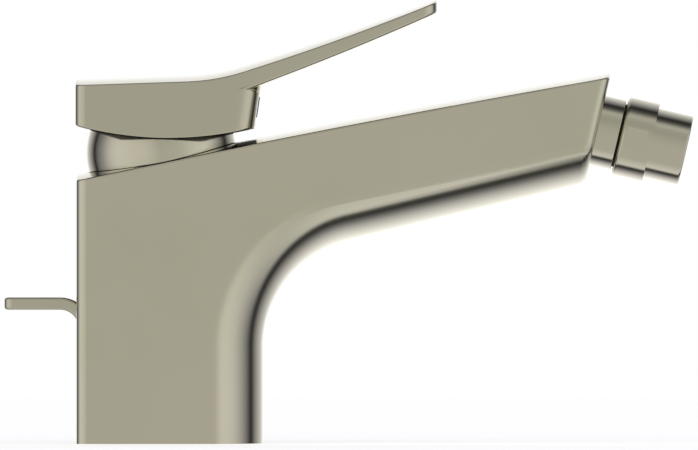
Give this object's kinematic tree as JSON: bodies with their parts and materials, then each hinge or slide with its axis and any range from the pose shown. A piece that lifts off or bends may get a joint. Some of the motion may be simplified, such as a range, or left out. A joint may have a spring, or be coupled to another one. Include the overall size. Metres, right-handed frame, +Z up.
{
  "type": "bidet mixer",
  "caption": "Deck-mounted single-lever bidet mixer with tapered spout, swivelling ball-joint outlet, lift-and-turn handle and pop-up waste knob, in satin nickel.",
  "frame": {"origin": "centre of the fixing-stud hole in the deck plane, on the axis of the cartridge", "axes": "+X forward along the spout, +Y across the mixer, +Z up from the deck"},
  "size_m": [0.2074, 0.0478, 0.1333],
  "materials": {
    "satin_nickel": "satin nickel plate",
    "brass": "machined brass",
    "ceramic": "polished ceramic",
    "cartridge_plastic": "moulded",
    "carrier_plastic": "moulded",
    "seal_rubber": "matt",
    "stainless": "brushed",
    "guide_plastic": "moulded",
    "liner_plastic": "smooth",
    "index_plastic": "gloss",
    "aerator_plastic": "moulded"
  },
  "bodies": {
    "mixer_body": {"body": "satin_nickel", "deck_seal": "seal_rubber", "cartridge_base": "cartridge_plastic", "base_seals": "seal_rubber", "disc_seals": "seal_rubber", "fixed_disc": "ceramic", "cartridge_shell": "cartridge_plastic", "cartridge_nut": "brass", "dome_o_ring": "seal_rubber", "dome_cover": "satin_nickel", "spout_collar": "satin_nickel", "neck_seal": "seal_rubber", "ball_seat": "liner_plastic", "rod_guide": "guide_plastic"},
    "turret": {"turret": "carrier_plastic", "pivot_pin": "stainless"},
    "lever": {"spindle": "stainless", "lever_handle": "satin_nickel", "lever_screw": "stainless", "index_plug": "index_plastic"},
    "valve_disc": {"moving_disc": "ceramic", "disc_carrier": "carrier_plastic"},
    "ball_liner": {"ball_liner": "liner_plastic"},
    "outlet": {"swivel_ball": "brass", "swivel_ring": "satin_nickel", "outlet_sleeve": "satin_nickel", "aerator_gasket": "seal_rubber", "aerator_insert": "aerator_plastic", "aerator_mesh": "stainless"},
    "pop_up": {"pop_up_lever": "satin_nickel", "pop_up_rod": "stainless"}
  },
  "joints": [
    {"name": "lever_turn", "type": "hinge", "parent": "mixer_body", "child": "turret", "pos_m": [0, 0, 0.08745], "axis": [0, 0, 1], "range_deg": [-45, 45]},
    {"name": "lever_lift", "type": "hinge", "parent": "turret", "child": "lever", "pos_m": [0, 0, 0.08745], "axis": [0, -1, 0], "range_deg": [0, 25]},
    {"name": "disc_slide", "type": "slide", "parent": "turret", "child": "valve_disc", "axis": [1, 0, 0], "range_m": [0, 0.0045]},
    {"name": "outlet_nod", "type": "hinge", "parent": "mixer_body", "child": "ball_liner", "pos_m": [0.13315, 0, 0.09377], "axis": [0, 1, 0], "range_deg": [-10, 10]},
    {"name": "outlet_swing", "type": "hinge", "parent": "ball_liner", "child": "outlet", "pos_m": [0.13315, 0, 0.09377], "axis": [0.2284, 0, 0.9736], "range_deg": [-10, 10]},
    {"name": "pop_up_lift", "type": "slide", "parent": "mixer_body", "child": "pop_up", "axis": [0, 0, 1], "range_m": [0, 0.025]}
  ],
  "couplings": [
    {"joint": "disc_slide", "follows": "lever_lift", "m_per_rad": 0.009686}
  ]
}
